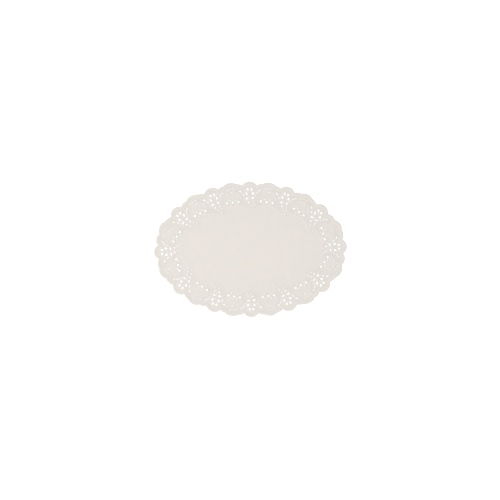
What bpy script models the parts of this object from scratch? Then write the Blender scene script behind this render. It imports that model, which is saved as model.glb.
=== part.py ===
"""Oval lace doily: one flat sheet, die-cut with a scalloped edge and a border of eyelets.

The sheet lies on the XY plane with its long way along X and its underside at Z = 0. Twelve repeats
run round the oval. Each repeat is a small scallop over a flower of eyelets, and then a wide scallop,
made of a crest between two shoulders, over a row of three eyelets.
"""

import math
from collections import namedtuple

import bmesh
import bpy
import numpy as np
from mathutils import Vector
from mathutils.geometry import delaunay_2d_cdt

MM = 0.001

# The oval that the tips of the small scallops touch, and the sheet's thickness
LENGTH = 254.0 * MM
WIDTH = 178.4 * MM
THICKNESS = 1.0 * MM

# One row is a small scallop and the wide scallop that follows it, counterclockwise: how far round
# the half oval from the +X end the small one has its middle; then, for the first and the last
# shoulder of the wide one, its share of the wide one's width, the depth of the dip between it and
# the crest, and how far it bulges; and last the turn of its row of eyelets, in degrees. The other
# half is the same after half a turn.
Scallop = namedtuple(
    "Scallop", "place first_share first_dip first_rise last_share last_dip last_rise row_turn"
)
HALF_ROUND = (
    Scallop(0.009, 0.30, 1.6 * MM, 1.4 * MM, 0.31, 3.1 * MM, 1.5 * MM, -14),
    Scallop(0.190, 0.26, 1.9 * MM, 0.4 * MM, 0.26, 2.9 * MM, 1.0 * MM, -8),
    Scallop(0.349, 0.20, 2.8 * MM, 0.6 * MM, 0.23, 2.4 * MM, 0.7 * MM, -2),
    Scallop(0.502, 0.22, 2.5 * MM, 0.7 * MM, 0.22, 2.6 * MM, 0.8 * MM, -2),
    Scallop(0.657, 0.22, 2.2 * MM, 0.4 * MM, 0.27, 2.3 * MM, 1.2 * MM, -2),
    Scallop(0.820, 0.22, 2.3 * MM, 0.4 * MM, 0.35, 3.1 * MM, 2.8 * MM, -10),
)

# The scalloped edge, measured inward from the oval
SMALL_SCALLOP_HALF_WIDTH = 10.0 * MM
NOTCH_DEPTH = 4.9 * MM
CREST_DEPTH = -0.3 * MM
SMALL_SCALLOP_STEPS = 12
SHOULDER_STEPS = 5
CREST_STEPS = 12

# One row is an eyelet: its place counterclockwise of the motif's axis and inward from the oval, its
# length and width, and the angle its length makes with the way inward, in degrees.
Eyelet = namedtuple("Eyelet", "beside inward length width turn")
# The flower: its crown, side petals, lower petals and stem, then its two wings, which differ
FLOWER_EYELETS = (
    Eyelet(2.5 * MM, 10.2 * MM, 3.7 * MM, 2.7 * MM, -10),
    Eyelet(-2.5 * MM, 10.2 * MM, 3.7 * MM, 2.7 * MM, 10),
    Eyelet(4.0 * MM, 15.7 * MM, 3.9 * MM, 2.6 * MM, -28),
    Eyelet(-4.4 * MM, 15.5 * MM, 3.8 * MM, 2.7 * MM, 20),
    Eyelet(3.6 * MM, 22.2 * MM, 4.4 * MM, 2.2 * MM, 75),
    Eyelet(-3.8 * MM, 21.6 * MM, 3.9 * MM, 2.1 * MM, 90),
    Eyelet(1.4 * MM, 27.1 * MM, 2.3 * MM, 2.1 * MM, 0),
    Eyelet(8.3 * MM, 17.5 * MM, 4.0 * MM, 1.2 * MM, -22),
    Eyelet(12.2 * MM, 13.0 * MM, 3.9 * MM, 1.5 * MM, -68),
    Eyelet(-10.1 * MM, 14.1 * MM, 2.8 * MM, 1.2 * MM, 48),
    Eyelet(-13.0 * MM, 12.0 * MM, 3.0 * MM, 1.3 * MM, 76),
)
# The row under a wide scallop, set out from the row's own middle
ROW_MIDDLE = Eyelet(-0.1 * MM, 25.6 * MM, 2.9 * MM, 2.9 * MM, 0)
ROW_PITCH = 7.7 * MM
EYELET_SIDES = 10

# Matt paper, a warm off-white
SHEET_COLOUR = (0.806, 0.768, 0.723, 1.0)
SHEET_ROUGHNESS = 0.85

SEMI_LENGTH = LENGTH / 2
SEMI_WIDTH = WIDTH / 2
OVAL_TABLE_STEPS = 7200
WELD_DISTANCE = 1e-7


class Oval:
    """The ellipse that encloses the sheet, read by the distance run along it from the +X end."""

    def __init__(self):
        self.angles = np.linspace(0.0, 2 * math.pi, OVAL_TABLE_STEPS + 1)
        speed = np.hypot(SEMI_LENGTH * np.sin(self.angles), SEMI_WIDTH * np.cos(self.angles))
        steps = (speed[1:] + speed[:-1]) / 2 * np.diff(self.angles)
        self.runs = np.concatenate(([0.0], np.cumsum(steps)))
        self.round = float(self.runs[-1])

    def frame(self, run):
        """The oval's point at that run, the way on along it and the way inward."""
        angle = float(np.interp(run % self.round, self.runs, self.angles))
        point = Vector((SEMI_LENGTH * math.cos(angle), SEMI_WIDTH * math.sin(angle)))
        onward = Vector((-SEMI_LENGTH * math.sin(angle), SEMI_WIDTH * math.cos(angle))).normalized()
        inward = Vector((-onward.y, onward.x))
        return point, onward, inward

    def at_depth(self, run, depth):
        point, _, inward = self.frame(run)
        return point + inward * depth


def whole_round(oval):
    """Every scallop row with the run of its small scallop's middle and of the next one's."""
    half = oval.round / 2
    runs = [half * (turn + row.place) for turn in range(2) for row in HALF_ROUND]
    following = runs[1:] + [runs[0] + oval.round]
    return list(zip(HALF_ROUND * 2, runs, following))


def arc(start, end, rise, steps):
    """Points along a round arc from start up to, and without, end, bulging to a smaller depth."""
    start, end = Vector(start), Vector(end)
    half_chord = (end - start).length / 2
    radius = (half_chord**2 + rise**2) / (2 * rise)
    half_angle = math.asin(min(1.0, half_chord / radius))
    along = (end - start).normalized()
    outward = Vector((along.y, -along.x))
    centre = (start + end) / 2 - outward * (radius - rise)
    points = []
    for step in range(steps):
        angle = half_angle * (2 * step / steps - 1)
        points.append(centre + along * radius * math.sin(angle) + outward * radius * math.cos(angle))
    return points


def edge_loop(oval):
    """The scalloped outline: arcs in terms of run and depth, laid on the oval."""
    points = []
    for row, middle, following in whole_round(oval):
        left = (middle - SMALL_SCALLOP_HALF_WIDTH, NOTCH_DEPTH)
        right = (middle + SMALL_SCALLOP_HALF_WIDTH, NOTCH_DEPTH)
        next_left = (following - SMALL_SCALLOP_HALF_WIDTH, NOTCH_DEPTH)
        width = next_left[0] - right[0]
        dip = (right[0] + width * row.first_share, row.first_dip)
        last_dip = (next_left[0] - width * row.last_share, row.last_dip)
        crest_rise = (row.first_dip + row.last_dip) / 2 - CREST_DEPTH
        points += arc(left, right, NOTCH_DEPTH, SMALL_SCALLOP_STEPS)
        points += arc(right, dip, row.first_rise, SHOULDER_STEPS)
        points += arc(dip, last_dip, crest_rise, CREST_STEPS)
        points += arc(last_dip, next_left, row.last_rise, SHOULDER_STEPS)
    return [oval.at_depth(run, depth) for run, depth in points]


def eyelet_loop(eyelet, frame):
    """One oval hole of a motif that stands on the given frame of the edge."""
    point, onward, inward = frame
    middle = point + onward * eyelet.beside + inward * eyelet.inward
    turn = math.radians(eyelet.turn)
    long_way = inward * math.cos(turn) + onward * math.sin(turn)
    short_way = inward * math.sin(turn) - onward * math.cos(turn)
    loop = []
    for step in range(EYELET_SIDES):
        angle = 2 * math.pi * (step + 0.5) / EYELET_SIDES
        across_long = long_way * (eyelet.length / 2 * math.cos(angle))
        across_short = short_way * (eyelet.width / 2 * math.sin(angle))
        loop.append(middle + across_long + across_short)
    return loop


def flower_loops(frame):
    """The flower of eyelets under a small scallop."""
    return [eyelet_loop(eyelet, frame) for eyelet in FLOWER_EYELETS]


def row_loops(frame, turn):
    """The row of three eyelets under a wide scallop, turned about its middle one."""
    angle = math.radians(turn)
    loops = []
    for step in (-1, 0, 1):
        beside = ROW_MIDDLE.beside + step * ROW_PITCH * math.cos(angle)
        inward = ROW_MIDDLE.inward + step * ROW_PITCH * math.sin(angle)
        loops.append(eyelet_loop(ROW_MIDDLE._replace(beside=beside, inward=inward), frame))
    return loops


def all_eyelet_loops(oval):
    """The flower under each small scallop and the row of three under each wide one."""
    loops = []
    for row, middle, following in whole_round(oval):
        loops += flower_loops(oval.frame(middle))
        loops += row_loops(oval.frame((middle + following) / 2), row.row_turn)
    return loops


def cut_sheet(outline, holes):
    """A mesh of the flat shape inside the outline and outside the holes, drawn up to its thickness."""
    corners, loops = [], []
    for loop in [outline] + holes:
        loops.append(list(range(len(corners), len(corners) + len(loop))))
        corners += loop
    points, _, faces, _, _, sources = delaunay_2d_cdt(corners, [], loops, 0, WELD_DISTANCE, True)
    flat = bmesh.new()
    verts = [flat.verts.new((point.x, point.y, 0.0)) for point in points]
    for face, source in zip(faces, sources):
        if source == [0]:
            flat.faces.new([verts[corner] for corner in face])
    loose = [vert for vert in flat.verts if not vert.link_faces]
    bmesh.ops.delete(flat, geom=loose, context="VERTS")
    drawn = bmesh.ops.extrude_face_region(flat, geom=flat.faces[:])
    top = [item for item in drawn["geom"] if isinstance(item, bmesh.types.BMVert)]
    bmesh.ops.translate(flat, verts=top, vec=(0.0, 0.0, THICKNESS))
    bmesh.ops.recalc_face_normals(flat, faces=flat.faces[:])
    mesh = bpy.data.meshes.new("doily")
    flat.to_mesh(mesh)
    flat.free()
    return mesh


def sheet_material():
    """Matt off-white paper."""
    material = bpy.data.materials.new("sheet")
    material.use_nodes = True
    shader = material.node_tree.nodes["Principled BSDF"]
    shader.inputs["Base Color"].default_value = SHEET_COLOUR
    shader.inputs["Roughness"].default_value = SHEET_ROUGHNESS
    shader.inputs["Metallic"].default_value = 0.0
    return material


def build_doily():
    """The whole doily, which is one cut sheet."""
    oval = Oval()
    mesh = cut_sheet(edge_loop(oval), all_eyelet_loops(oval))
    mesh.materials.append(sheet_material())
    doily = bpy.data.objects.new("doily", mesh)
    bpy.context.scene.collection.objects.link(doily)
    return doily


for old in list(bpy.data.objects):
    bpy.data.objects.remove(old, do_unlink=True)
build_doily()
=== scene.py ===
import math
from collections import namedtuple

import bpy
import numpy as np
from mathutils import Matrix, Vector
from mathutils.geometry import delaunay_2d_cdt


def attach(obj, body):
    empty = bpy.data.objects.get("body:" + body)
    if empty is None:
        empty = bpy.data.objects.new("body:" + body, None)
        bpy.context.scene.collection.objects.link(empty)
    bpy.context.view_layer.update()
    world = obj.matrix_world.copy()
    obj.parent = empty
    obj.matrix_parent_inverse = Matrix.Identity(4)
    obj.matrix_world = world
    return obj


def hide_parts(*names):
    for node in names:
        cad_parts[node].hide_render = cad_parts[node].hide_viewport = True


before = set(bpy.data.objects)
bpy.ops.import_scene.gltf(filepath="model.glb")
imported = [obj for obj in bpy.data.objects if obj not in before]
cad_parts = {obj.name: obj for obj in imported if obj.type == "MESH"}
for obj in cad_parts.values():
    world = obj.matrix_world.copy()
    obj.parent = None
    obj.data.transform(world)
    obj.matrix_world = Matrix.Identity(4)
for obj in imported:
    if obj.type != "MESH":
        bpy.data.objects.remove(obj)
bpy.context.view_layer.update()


# The paper doily: one sheet of matt off-white paper. A single stroke of a die cuts its scalloped
# edge, punches the eyelets and pinholes and presses in the raised lines, so both faces carry the
# same relief and every cut edge is bare. Its shape is in millimetres, and all else in metres.
PAPER_THICKNESS = 0.12
LENGTH, WIDTH = 254.0, 178.4

# The cut edge is set out by the distance run along an oval, from its +X end, and the depth inward.
OVAL_STEPS = 7200
angles = np.linspace(0.0, 2 * math.pi, OVAL_STEPS + 1)
speed = np.hypot(LENGTH / 2 * np.sin(angles), WIDTH / 2 * np.cos(angles))
runs = np.concatenate(([0.0], np.cumsum((speed[1:] + speed[:-1]) / 2 * np.diff(angles))))
ROUND = runs[-1]

Place = namedtuple("Place", "point onward inward")


def oval_place(run):
    """The oval's point at that run, the way on along it and the way inward; run may be an array."""
    angle = np.interp(np.mod(run, ROUND), runs, angles)
    point = np.stack((LENGTH / 2 * np.cos(angle), WIDTH / 2 * np.sin(angle)), -1)
    onward = np.stack((-LENGTH / 2 * np.sin(angle), WIDTH / 2 * np.cos(angle)), -1)
    onward /= np.linalg.norm(onward, axis=-1, keepdims=True)
    return Place(point, onward, np.stack((-onward[..., 1], onward[..., 0]), -1))


# A row is a small scallop and the wide scallop after it, counterclockwise: the share of the half
# oval at the small one's middle; then, for the first and last shoulder of the wide one, its share
# of the width, the depth of the dip beside the crest and its rise; and the turn of its row of
# eyelets, in degrees. The other half is the same after half a turn.
Scallop = namedtuple(
    "Scallop", "place first_share first_dip first_rise last_share last_dip last_rise row_turn"
)
HALF_ROUND = (
    Scallop(0.009, 0.30, 1.6, 1.4, 0.31, 3.1, 1.5, -14),
    Scallop(0.190, 0.26, 1.9, 0.4, 0.26, 2.9, 1.0, -8),
    Scallop(0.349, 0.20, 2.8, 0.6, 0.23, 2.4, 0.7, -2),
    Scallop(0.502, 0.22, 2.5, 0.7, 0.22, 2.6, 0.8, -2),
    Scallop(0.657, 0.22, 2.2, 0.4, 0.27, 2.3, 1.2, -2),
    Scallop(0.820, 0.22, 2.3, 0.4, 0.35, 3.1, 2.8, -10),
)
SMALL_SCALLOP_HALF_WIDTH = 10.0
NOTCH_DEPTH = 4.9
CREST_DEPTH = -0.3
SMALL_SCALLOP_STEPS, SHOULDER_STEPS, CREST_STEPS = 26, 11, 24
middles = [ROUND / 2 * (turn + row.place) for turn in range(2) for row in HALF_ROUND]
repeats = list(zip(HALF_ROUND * 2, middles, middles[1:] + [middles[0] + ROUND]))


def arc(start, end, rise, steps):
    """Points along a round arc from start up to, and without, end, bulging to a smaller depth."""
    start, end = np.array(start), np.array(end)
    half_chord = math.dist(start, end) / 2
    radius = (half_chord**2 + rise**2) / (2 * rise)
    half_angle = math.asin(min(1.0, half_chord / radius))
    along = (end - start) / (2 * half_chord)
    outward = np.array((along[1], -along[0]))
    swing = half_angle * (2 * np.arange(steps)[:, None] / steps - 1)
    centre = (start + end) / 2 - outward * (radius - rise)
    return centre + along * radius * np.sin(swing) + outward * radius * np.cos(swing)


edge_arcs = []
for row, middle, following in repeats:
    notches = [(middle + side * SMALL_SCALLOP_HALF_WIDTH, NOTCH_DEPTH) for side in (-1, 1)]
    next_notch = (following - SMALL_SCALLOP_HALF_WIDTH, NOTCH_DEPTH)
    width = next_notch[0] - notches[1][0]
    dip = (notches[1][0] + width * row.first_share, row.first_dip)
    last_dip = (next_notch[0] - width * row.last_share, row.last_dip)
    crest_rise = (row.first_dip + row.last_dip) / 2 - CREST_DEPTH
    edge_arcs += [
        arc(*notches, NOTCH_DEPTH, SMALL_SCALLOP_STEPS),
        arc(notches[1], dip, row.first_rise, SHOULDER_STEPS),
        arc(dip, last_dip, crest_rise, CREST_STEPS),
        arc(last_dip, next_notch, row.last_rise, SHOULDER_STEPS),
    ]
edge_runs, edge_depths = np.concatenate(edge_arcs).T
edge_place = oval_place(edge_runs)
edge = edge_place.point + edge_place.inward * edge_depths[:, None]


# A punched hole: its place counterclockwise of the motif's axis and inward from the oval, its
# length and width, and the angle of its length to the way inward, in degrees.
Eyelet = namedtuple("Eyelet", "beside inward length width turn")
# The flower: its crown, side petals, lower petals and stem, then its two wings, which differ
FLOWER_EYELETS = (
    Eyelet(2.5, 10.2, 3.7, 2.7, -10),
    Eyelet(-2.5, 10.2, 3.7, 2.7, 10),
    Eyelet(4.0, 15.7, 3.9, 2.6, -28),
    Eyelet(-4.4, 15.5, 3.8, 2.7, 20),
    Eyelet(3.6, 22.2, 4.4, 2.2, 75),
    Eyelet(-3.8, 21.6, 3.9, 2.1, 90),
    Eyelet(1.4, 27.1, 2.3, 2.1, 0),
    Eyelet(8.3, 17.5, 4.0, 1.2, -22),
    Eyelet(12.2, 13.0, 3.9, 1.5, -68),
    Eyelet(-10.1, 14.1, 2.8, 1.2, 48),
    Eyelet(-13.0, 12.0, 3.0, 1.3, 76),
)
# The slits and pinholes that carry on the left wing and the two sides of the stem
FLOWER_SLITS = (
    Eyelet(-8.1, 17.4, 2.8, 0.9, 26),
    Eyelet(-6.4, 19.8, 1.7, 0.9, 35),
    Eyelet(-0.7, 31.5, 2.9, 0.9, -28),
    Eyelet(-4.6, 26.8, 3.6, 1.0, -12),
    Eyelet(-6.2, 30.9, 2.5, 0.9, -30),
    Eyelet(-4.0, 35.9, 1.2, 1.2, 0),
    Eyelet(-9.1, 35.3, 1.2, 1.2, 0),
)
# The row of three under a wide scallop, and the slits and pinholes over the fan and round the row
ROW_EYELET = Eyelet(-0.1, 25.6, 2.9, 2.9, 0)
ROW_PITCH = 7.7
FAN_SLITS = (
    Eyelet(-2.9, 7.8, 2.8, 0.8, 95),
    Eyelet(2.0, 8.0, 2.8, 0.8, 78),
    Eyelet(5.7, 9.3, 2.0, 0.9, 65),
    Eyelet(-1.1, 12.7, 2.4, 1.3, 90),
    Eyelet(3.4, 22.6, 2.0, 1.4, 75),
    Eyelet(-4.2, 23.2, 2.0, 1.1, 95),
    Eyelet(-4.1, 29.0, 1.7, 1.2, 90),
    Eyelet(3.5, 28.1, 1.3, 1.2, 0),
)
# A hole up to 2 mm long needs fewer sides, and one narrower than 2.4 mm has a lower rim.
PINHOLE_LENGTH = 2.0
EYELET_SIDES, PINHOLE_SIDES = 20, 12
RIM_OUT, RIM_HALF_WIDTH, RIM_HEIGHT = 0.5, 0.65, 0.22
FULL_RIM_WIDTH = 2.4

Ridge = namedtuple("Ridge", "line half_width height")
Dome = namedtuple("Dome", "centre radius height")
holes, ridges, domes = [], [], []


def eyelet_loop(eyelet, place, grown, sides):
    """The eyelet's oval, grown on all sides by that much, counterclockwise."""
    turn = math.radians(eyelet.turn)
    middle = place.point + place.onward * eyelet.beside + place.inward * eyelet.inward
    long_way = place.inward * math.cos(turn) + place.onward * math.sin(turn)
    short_way = place.inward * math.sin(turn) - place.onward * math.cos(turn)
    angle = 2 * math.pi * (np.arange(sides)[:, None] + 0.5) / sides
    loop = middle + long_way * (eyelet.length / 2 + grown) * np.cos(angle)
    return loop + short_way * (eyelet.width / 2 + grown) * np.sin(angle)


def punch(eyelet, place):
    """Adds an eyelet and the rim that the die raises round it."""
    sides = EYELET_SIDES if eyelet.length > PINHOLE_LENGTH else PINHOLE_SIDES
    holes.append(eyelet_loop(eyelet, place, 0.0, sides))
    rim = eyelet_loop(eyelet, place, RIM_OUT, sides)
    height = RIM_HEIGHT * min(1.0, eyelet.width / FULL_RIM_WIDTH)
    ridges.append(Ridge(np.vstack((rim, rim[:1])), RIM_HALF_WIDTH, height))


# A curve is drawn in 24 steps from knot to knot, and then divided evenly.
KNOT_STEPS = 24


def curve(knots, closed=False, spacing=1.0):
    """Evenly spaced points along a smooth curve through the knots."""
    knots = np.array(knots, float)
    if closed:
        before, after, last = knots[-1:], knots[:2], len(knots)
    else:
        before, after = 2 * knots[:1] - knots[1:2], 2 * knots[-1:] - knots[-2:-1]
        last = len(knots) - 1
    knots = np.vstack((before, knots, after))
    share = np.linspace(0, 1, KNOT_STEPS, endpoint=False)[:, None]
    fine = []
    for a, b, c, d in zip(knots[:last], knots[1:], knots[2:], knots[3:]):
        fine.append(
            b
            + (c - a) / 2 * share
            + (a - 2.5 * b + 2 * c - d / 2) * share**2
            + (1.5 * (b - c) + (d - a) / 2) * share**3
        )
    fine = np.vstack(fine + [knots[last + 1 : last + 2]])
    gone = np.concatenate(([0.0], np.cumsum(np.linalg.norm(np.diff(fine, axis=0), axis=1))))
    even = np.linspace(0, gone[-1], max(3, round(gone[-1] / spacing) + 1))
    return np.stack([np.interp(even, gone, fine[:, axis]) for axis in (0, 1)], -1)


def drawn(place, knots, mirrored=False):
    """Knots given beside the axis and inward, laid on the sheet."""
    knots = np.array(knots, float)
    if mirrored:
        knots[:, 0] *= -1
    return place.point + knots[:, :1] * place.onward + knots[:, 1:] * place.inward


# The flower under each small scallop, on a plain ground: its eyelets, a button, veins between the
# petals and a stem that leans clockwise.
SIDE_VEINS = (
    ((1.7, 16.6), (3.6, 13.2), (6.4, 10.6)),
    ((2.7, 18.8), (4.6, 18.8), (6.8, 20.0)),
)
CENTRE_VEIN = ((0.0, 16.0), (0.0, 12.0), (0.0, 7.4))
VEIN_HALF_WIDTH, VEIN_HEIGHT = 0.6, 0.2
STEM = ((-0.1, 21.4), (-0.5, 23.8), (-1.8, 27.3), (-4.1, 31.6), (-7.0, 35.7), (-8.6, 37.6))
STEM_HALF_WIDTH, STEM_HEIGHT = 0.75, 0.22
STEM_TIP = ((-8.9, 39.2),)
BUTTON = ((0.0, 18.7),)
BUTTON_RADIUS, BUTTON_HEIGHT = 1.6, 0.5
FLOWER_GROUND = ((0.0, 6.8), (4.6, 7.6), (7.0, 12.5), (7.4, 18.5), (7.2, 23.8), (3.4, 25.4))
stem_tips = []
plain_grounds = []
for _, middle, _ in repeats:
    place = oval_place(middle)
    for eyelet in FLOWER_EYELETS + FLOWER_SLITS:
        punch(eyelet, place)
    veins = [drawn(place, vein, mirrored) for vein in SIDE_VEINS for mirrored in (False, True)]
    for vein in veins + [drawn(place, CENTRE_VEIN)]:
        ridges.append(Ridge(curve(vein), VEIN_HALF_WIDTH, VEIN_HEIGHT))
    ridges.append(Ridge(curve(drawn(place, STEM)), STEM_HALF_WIDTH, STEM_HEIGHT))
    domes.append(Dome(drawn(place, BUTTON)[0], BUTTON_RADIUS, BUTTON_HEIGHT))
    stem_tips.append(drawn(place, STEM_TIP)[0])
    right_side, left_side = drawn(place, FLOWER_GROUND), drawn(place, FLOWER_GROUND[:0:-1], True)
    plain_grounds.append(np.vstack((right_side, left_side)))

# The fan under each wide scallop: a row of three eyelets, pinholes round them and over the fan's
# arch, and ribs that spread to the arch.
ARCH_CENTRE = (-0.4, 22.6)
ARCH_HALF_WIDTH, ARCH_RISE = 12.4, 12.2
ARCH_KNOTS = 13
ARCH_LINE_HALF_WIDTH, ARCH_LINE_HEIGHT = 0.7, 0.2
# The ribs' angles round the arch's centre, in degrees, and the shares of the way out to it that
# a rib runs over
RIB_ANGLES = (24, 46, 68, 112, 134, 156)
RIB_SHARES = (0.35, 0.6, 0.88)
RIB_HALF_WIDTH, RIB_HEIGHT = 0.8, 0.12
INNER_LINE = ((-11.5, 31.6), (0.0, 31.0), (11.5, 31.6))
INNER_LINE_HALF_WIDTH, INNER_LINE_HEIGHT = 0.8, 0.1
inner_knots = []
for (row, middle, following), stem_tip in zip(repeats, stem_tips):
    place = oval_place((middle + following) / 2)
    turn = math.radians(row.row_turn)
    for step in (-1, 0, 1):
        beside = ROW_EYELET.beside + step * ROW_PITCH * math.cos(turn)
        inward = ROW_EYELET.inward + step * ROW_PITCH * math.sin(turn)
        punch(ROW_EYELET._replace(beside=beside, inward=inward), place)
    for slit in FAN_SLITS:
        punch(slit, place)
    swing = np.radians(np.linspace(0, 180, ARCH_KNOTS))
    arch = np.stack((np.cos(swing) * ARCH_HALF_WIDTH, -np.sin(swing) * ARCH_RISE), -1) + ARCH_CENTRE
    plain_grounds.append(drawn(place, arch))
    ridges.append(Ridge(curve(plain_grounds[-1]), ARCH_LINE_HALF_WIDTH, ARCH_LINE_HEIGHT))
    for angle in np.radians(RIB_ANGLES):
        way = np.array((math.cos(angle) * ARCH_HALF_WIDTH, -math.sin(angle) * ARCH_RISE))
        rib = [ARCH_CENTRE + way * share for share in RIB_SHARES]
        ridges.append(Ridge(curve(drawn(place, rib)), RIB_HALF_WIDTH, RIB_HEIGHT))
    inner_knots += [stem_tip, *drawn(place, INNER_LINE)]

# A low line closes the border against the plain middle.
inner_line = curve(inner_knots, closed=True)
ridges.append(Ridge(inner_line, INNER_LINE_HALF_WIDTH, INNER_LINE_HEIGHT))

# A raised cord follows the cut edge, with a row of beads inside it.
CORD_IN, CORD_HALF_WIDTH, CORD_HEIGHT = 0.8, 0.65, 0.26
BEAD_IN, BEAD_PITCH, BEAD_RADIUS, BEAD_HEIGHT = 2.5, 2.1, 0.75, 0.32
# Every third point of the edge is enough to string the beads along.
BEAD_LINE_STEP = 3


def inset(loop, distance):
    """A counterclockwise loop moved inward by that distance."""
    along = np.roll(loop, -1, 0) - np.roll(loop, 1, 0)
    along /= np.linalg.norm(along, axis=1, keepdims=True)
    return loop + np.stack((-along[:, 1], along[:, 0]), -1) * distance


cord = inset(edge, CORD_IN)
ridges.append(Ridge(np.vstack((cord, cord[:1])), CORD_HALF_WIDTH, CORD_HEIGHT))
bead_line = inset(edge, BEAD_IN)[::BEAD_LINE_STEP]
for bead in curve(bead_line, closed=True, spacing=BEAD_PITCH)[:-1]:
    domes.append(Dome(bead, BEAD_RADIUS, BEAD_HEIGHT))


# The points of the mesh: the cut lines, the domes, rows along every raised line, and the ground.
# A ring of a dome is its share of the radius and of the height.
BUTTON_RINGS, BUTTON_SIDES = ((0.4, 0.9), (0.72, 0.55), (1.0, 0.0)), 12
BEAD_RINGS, BEAD_SIDES = ((0.6, 0.7), (1.0, 0.0)), 6
DOME_GAP = 0.2


class Points:
    """Points on the sheet with their lifts, found again by the square cell that each one is in."""

    CELL = 1.2

    def __init__(self):
        self.places, self.lifts, self.cells = [], [], {}

    def cell(self, place):
        return int(place[0] // self.CELL), int(place[1] // self.CELL)

    def add(self, place, lift=0.0):
        self.cells.setdefault(self.cell(place), []).append(tuple(place))
        self.places.append(tuple(place))
        self.lifts.append(lift)

    def clear(self, place, gap):
        """Whether no point is nearer than the gap, which is a cell at most."""
        column, line = self.cell(place)
        for across in (column - 1, column, column + 1):
            for down in (line - 1, line, line + 1):
                for other in self.cells.get((across, down), ()):
                    if math.dist(place, other) < gap:
                        return False
        return True

    def add_if_clear(self, place, gap, lift=0.0):
        if self.clear(place, gap):
            self.add(place, lift)

    def add_dome(self, dome):
        """A dome's top, its flank and its foot."""
        self.add_if_clear(dome.centre, DOME_GAP, dome.height)
        button = dome.radius == BUTTON_RADIUS
        rings, sides = (BUTTON_RINGS, BUTTON_SIDES) if button else (BEAD_RINGS, BEAD_SIDES)
        for share, rise in rings:
            for angle in np.radians(np.arange(sides) * (360 / sides)):
                way = np.array((math.cos(angle), math.sin(angle)))
                place = dome.centre + dome.radius * share * way
                self.add_if_clear(place, DOME_GAP, dome.height * rise)


def inside(places, loop):
    """Which of the places are inside a closed loop."""
    x, y = places[:, 0], places[:, 1]
    within = np.zeros(len(places), bool)
    for (x0, y0), (x1, y1) in zip(loop, np.roll(loop, -1, 0)):
        if y0 != y1:
            crosses = (y0 > y) != (y1 > y)
            within ^= crosses & (x < (x1 - x0) * (y - y0) / (y1 - y0) + x0)
    return within


# Three rows of points on each side of a raised line round its profile: how far out each is, as a
# share of the half width, and how near it may come to another point.
RIDGE_ROWS = ((0.0, 0.33), (0.5, 0.25), (1.0, 0.3))
points = Points()
loops = []
for loop in [edge] + holes:
    loops.append(list(range(len(points.places), len(points.places) + len(loop))))
    for place in loop:
        points.add(place)
for dome in domes:
    points.add_dome(dome)
for share, gap in RIDGE_ROWS:
    for ridge in ridges:
        along = np.gradient(ridge.line, axis=0)
        along /= np.linalg.norm(along, axis=1, keepdims=True)
        across = np.stack((-along[:, 1], along[:, 0]), -1) * ridge.half_width * share
        for place in np.vstack((ridge.line + across, ridge.line - across)):
            points.add_if_clear(place, gap)

# The ground between them: the points' distance, and how near they may come to another point.
BORDER_STEP, BORDER_GAP = 1.6, 0.75
MIDDLE_STEP, MIDDLE_GAP = 3.4, 1.0


def lattice(step):
    """The points over the whole sheet of a lattice of equilateral triangles."""
    columns = np.arange(-math.ceil(LENGTH / step), math.ceil(LENGTH / step))
    lines = np.arange(-math.ceil(WIDTH / step), math.ceil(WIDTH / step))
    column, line = (grid.ravel() for grid in np.meshgrid(columns, lines))
    places = np.stack(((column + line / 2) * step, line * step * math.sqrt(0.75)), -1)
    places = places[np.all(np.abs(places) < (LENGTH / 2, WIDTH / 2), axis=1)]
    return places[inside(places, edge)]


def on_plain_ground(places):
    """Which of the places are in a flower or a fan."""
    found = np.zeros(len(places), bool)
    for ground in plain_grounds:
        found |= inside(places, ground)
    return found


places = lattice(BORDER_STEP)
for place in places[~inside(places, inner_line)]:
    points.add_if_clear(place, BORDER_GAP)
places = lattice(MIDDLE_STEP)
for place in places[inside(places, inner_line)]:
    points.add_if_clear(place, MIDDLE_GAP)

# The relief: each point lies as high as the tallest dome or raised line over it. A line is taken
# in stretches, so that few points are tried against each.
STRETCH = 20
flat = np.array(points.places)
relief = np.array(points.lifts)


def gap_to(places, line):
    """How far each of the places is from a line of points."""
    start, step = line[:-1], np.diff(line, axis=0)
    offset = places[:, None] - start
    share = np.clip((offset * step).sum(-1) / (step**2).sum(-1), 0, 1)
    return np.linalg.norm(offset - share[..., None] * step, axis=-1).min(1)


def raise_ridge(line, half_width, height):
    """Raises the points near one stretch of a line, in a round profile."""
    low, high = line.min(0) - half_width, line.max(0) + half_width
    near = np.flatnonzero(np.all((flat > low) & (flat < high), axis=1))
    distance = gap_to(flat[near], line)
    profile = height * (1 + np.cos(math.pi * np.minimum(distance / half_width, 1))) / 2
    relief[near] = np.maximum(relief[near], profile)


for ridge in ridges:
    for start in range(0, len(ridge.line) - 1, STRETCH):
        raise_ridge(ridge.line[start : start + STRETCH + 1], ridge.half_width, ridge.height)

# The dry sheet doesn't lie quite flat: it rises and falls by a tenth of a millimetre, in the
# product of two waves. Each is its length along X and along Y, and its phase.
WAVE_HEIGHT = 0.05
FIRST_WAVE, SECOND_WAVE = (118.0, 164.0, 0.6), (-230.0, 97.0, 1.1)


def wave_angle(places, along_x, along_y, phase):
    """How far along a wave each of the places is, in radians."""
    return 2 * math.pi * (places[:, 0] / along_x + places[:, 1] / along_y) + phase


wave = np.sin(wave_angle(flat, *FIRST_WAVE)) * np.cos(wave_angle(flat, *SECOND_WAVE))
underside = relief + WAVE_HEIGHT * (1 + wave)

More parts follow.
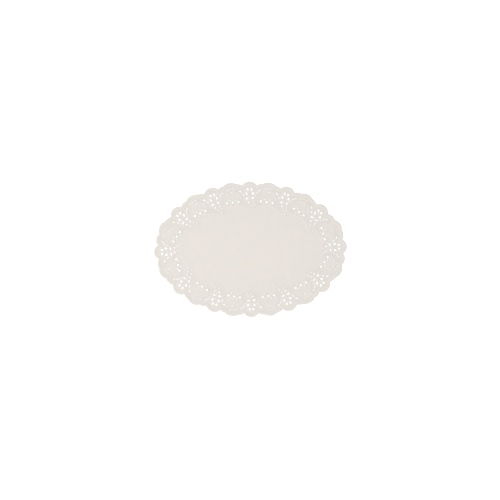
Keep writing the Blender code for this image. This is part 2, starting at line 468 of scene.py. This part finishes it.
# Both faces and the cut walls, which close the sheet.
WELD_DISTANCE = 1e-6
corners, _, faces, origins, _, sources = delaunay_2d_cdt(
    [Vector(place) for place in flat], [], loops, 0, WELD_DISTANCE, True
)
came_from = np.array([origin[0] for origin in origins])
sheet = np.array([face for face, source in zip(faces, sources) if source == [0]])
used, sheet = np.unique(sheet, return_inverse=True)
sheet = sheet.reshape(-1, 3)
level = np.array([corners[corner] for corner in used])
low = underside[came_from[used]]
count = len(used)
sides = np.concatenate((sheet[:, [0, 1]], sheet[:, [1, 2]], sheet[:, [2, 0]]))
codes = sides[:, 0] * count + sides[:, 1]
cut = sides[~np.isin(codes, sides[:, 1] * count + sides[:, 0])]
walls = np.column_stack((cut, cut[:, ::-1] + count))
under_points = np.column_stack((level, low))
top_points = np.column_stack((level, low + PAPER_THICKNESS))
all_faces = (sheet + count).tolist() + sheet[:, ::-1].tolist() + walls.tolist()

MM_IN_A_METRE = 1000
all_points = np.vstack((under_points, top_points)) / MM_IN_A_METRE
mesh = bpy.data.meshes.new("doily_paper")
mesh.from_pydata(all_points.tolist(), [], all_faces)
# Both faces are rounded, and the cut walls are sharp.
mesh.polygons.foreach_set("use_smooth", np.arange(len(all_faces)) < 2 * len(sheet))
mesh.validate()
# The net is on the border's bare ground, where the relief is next to nothing. The border carries
# painted shade for the small shadows in its pressed relief, and it fades out over 20 mm of the
# middle.
BEAD_BAND = 3.7
BARE_RELIEF = 0.01
FADE = 20.0
in_middle = inside(level, inner_line)
border_painted_shade = np.where(in_middle, np.maximum(0, 1 - gap_to(level, inner_line) / FADE), 1.0)
net = ~in_middle & ~on_plain_ground(level) & inside(level, inset(edge, BEAD_BAND))
net &= relief[came_from[used]] < BARE_RELIEF
for name, values in (("border_painted_shade", border_painted_shade), ("net", net)):
    attribute = mesh.attributes.new(name, "FLOAT", "POINT")
    attribute.data.foreach_set("value", np.tile(values.astype(np.float32), 2))
doily = bpy.data.objects.new("doily_paper", mesh)
bpy.context.scene.collection.objects.link(doily)


# Bleached tissue-like paper, uncoated and matt: cloudy in the mass, with a fine felt of fibres.
def linear(hex_colour):
    """The linear colour of an sRGB hex value."""
    srgb = [int(hex_colour[at : at + 2], 16) / 255 for at in (1, 3, 5)]
    return [c / 12.92 if c <= 0.04045 else ((c + 0.055) / 1.055) ** 2.4 for c in srgb] + [1.0]


def node(material, kind, settings=None, **links):
    """Adds a node with its settings, and links sockets to its inputs, spaces written as _."""
    made = material.node_tree.nodes.new(kind)
    for name, value in (settings or {}).items():
        if name in made.inputs:
            made.inputs[name].default_value = value
        else:
            setattr(made, name, value)
    for name, socket in links.items():
        material.node_tree.links.new(socket, made.inputs[name.replace("_", " ")])
    return made


paper = bpy.data.materials.new("uncoated_doily_paper")
paper.use_nodes = True
shader = paper.node_tree.nodes["Principled BSDF"]
shader.inputs["Roughness"].default_value = 0.82
shader.inputs["IOR"].default_value = 1.5
shader.inputs["Specular IOR Level"].default_value = 0.3
place_on = node(paper, "ShaderNodeTexCoord").outputs["Object"]
# The clouds are 9 mm across. The felt of fibres is 0.1 mm fine, and is drawn 0.9 mm coarse so that
# it shows.
CLOUD, FIBRE, FELT_DEPTH = 0.009, 0.0009, 0.00004
clouds = node(paper, "ShaderNodeTexNoise", {"Scale": 1 / CLOUD, "Detail": 3.0}, Vector=place_on)
fibres = node(paper, "ShaderNodeTexNoise", {"Scale": 1 / FIBRE, "Detail": 3.0}, Vector=place_on)
tint = node(paper, "ShaderNodeValToRGB", Fac=clouds.outputs["Fac"])
tint.color_ramp.elements[0].position = 0.3
tint.color_ramp.elements[0].color = linear("#DCD6D0")
tint.color_ramp.elements[1].position = 0.7
tint.color_ramp.elements[1].color = linear("#DED8D2")
# The die also presses a net of small hollows into the border's ground, in diagonal rows. Real ones
# are about 0.8 mm apart, and these are 1.2 mm so that they show.
NET_PITCH, NET_DEPTH = 0.0012, 0.00012
turned = node(paper, "ShaderNodeMapping", {"Rotation": (0.0, 0.0, math.radians(45))}, Vector=place_on)
hollows = node(
    paper,
    "ShaderNodeTexVoronoi",
    {"voronoi_dimensions": "2D", "Scale": 1 / NET_PITCH, "Randomness": 0.0},
    Vector=turned.outputs["Vector"],
)
depth = node(
    paper,
    "ShaderNodeMapRange",
    {"interpolation_type": "SMOOTHSTEP", "From Min": 0.15, "From Max": 0.5},
    Value=hollows.outputs["Distance"],
)
of_net = node(paper, "ShaderNodeAttribute", {"attribute_name": "net"})
pressed = node(
    paper,
    "ShaderNodeBump",
    {"Distance": NET_DEPTH},
    Height=depth.outputs["Result"],
    Strength=of_net.outputs["Fac"],
)
felt = node(
    paper,
    "ShaderNodeBump",
    {"Strength": 0.25, "Distance": FELT_DEPTH},
    Height=fibres.outputs["Fac"],
    Normal=pressed.outputs["Normal"],
)
# The border is a shade darker than the middle: painted shade for the small shadows of its relief.
of_border_painted_shade = node(paper, "ShaderNodeAttribute", {"attribute_name": "border_painted_shade"})
shaded = node(
    paper,
    "ShaderNodeMix",
    {"data_type": "RGBA", "blend_type": "MULTIPLY", "B": linear("#FDFEFD")},
    Factor=of_border_painted_shade.outputs["Fac"],
    A=tint.outputs["Color"],
)
paper.node_tree.links.new(shaded.outputs["Result"], shader.inputs["Base Color"])
paper.node_tree.links.new(felt.outputs["Normal"], shader.inputs["Normal"])
mesh.materials.append(paper)

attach(doily, "root")
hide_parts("doily")


# The table that it lies on: a white board with a matt lacquer, which was sprayed on and gives an
# even ground without gloss. It is the stage and no part of the object, and lies a hair under it.
TABLE_SIZE = 6.0
TABLE_GAP = 0.00002
table_mesh = bpy.data.meshes.new("table_top")
half = TABLE_SIZE / 2
table_mesh.from_pydata(
    [(x * half, y * half, -TABLE_GAP) for x, y in ((-1, -1), (1, -1), (1, 1), (-1, 1))],
    [],
    [(0, 1, 2, 3)],
)
table_top = bpy.data.objects.new("table_top", table_mesh)
bpy.context.scene.collection.objects.link(table_top)
# Matt white lacquer, with a faint mottle 50 mm across.
MOTTLE = 0.05
board = bpy.data.materials.new("matt_white_board")
board.use_nodes = True
board_shader = board.node_tree.nodes["Principled BSDF"]
board_shader.inputs["Roughness"].default_value = 0.9
board_shader.inputs["Specular IOR Level"].default_value = 0.1
board_place = node(board, "ShaderNodeTexCoord").outputs["Object"]
mottle = node(board, "ShaderNodeTexNoise", {"Scale": 1 / MOTTLE, "Detail": 2.0}, Vector=board_place)
board_tint = node(board, "ShaderNodeValToRGB", Fac=mottle.outputs["Fac"])
board_tint.color_ramp.elements[0].color = linear("#FCFCFC")
board_tint.color_ramp.elements[1].color = linear("#FFFFFF")
board.node_tree.links.new(board_tint.outputs["Color"], board_shader.inputs["Base Color"])
table_mesh.materials.append(board)


# The studio: an even white surround, and a large soft lamp high up to the lower left of the
# picture. Together they bring the board to white, and the lamp draws the relief.
SURROUND = 0.70
LAMP_POWER = 76.0
LAMP_PLACE = (-2.06, -0.96, 2.9)
LAMP_SIZE = 1.6
world = bpy.data.worlds.new("studio")
bpy.context.scene.world = world
world.use_nodes = True
world.node_tree.nodes["Background"].inputs["Color"].default_value = (1.0, 1.0, 1.0, 1.0)
world.node_tree.nodes["Background"].inputs["Strength"].default_value = SURROUND
lamp = bpy.data.lights.new("soft_lamp", "AREA")
lamp.shape = "DISK"
lamp.size = LAMP_SIZE
lamp.energy = LAMP_POWER
lamp_object = bpy.data.objects.new("soft_lamp", lamp)
lamp_object.location = LAMP_PLACE
lamp_object.rotation_euler = (-Vector(LAMP_PLACE)).to_track_quat("-Z", "Y").to_euler()
bpy.context.scene.collection.objects.link(lamp_object)

# The camera looks straight down. The picture is 500 pixels wide and spans 659.4 mm of the table;
# the doily's middle is at (250.35, 249.40) in it, and its right end is turned up by 0.43 degrees.
PICTURE_SPAN = 0.6594
PIXEL = PICTURE_SPAN / 500
RIGHT_OF_MIDDLE, ABOVE_MIDDLE = 0.35 * PIXEL, 0.60 * PIXEL
RIGHT_END_UP = math.radians(0.43)
LENS, SENSOR = 85.0, 36.0
camera = bpy.data.cameras.new("camera")
camera.lens = LENS
camera.sensor_width = SENSOR
camera_object = bpy.data.objects.new("camera", camera)
camera_object.rotation_euler = (0.0, 0.0, -RIGHT_END_UP)
camera_place = Vector((-RIGHT_OF_MIDDLE, -ABOVE_MIDDLE, PICTURE_SPAN * LENS / SENSOR))
camera_place.rotate(camera_object.rotation_euler)
camera_object.location = camera_place
bpy.context.scene.collection.objects.link(camera_object)
bpy.context.scene.camera = camera_object
bpy.context.scene.view_settings.view_transform = "Standard"
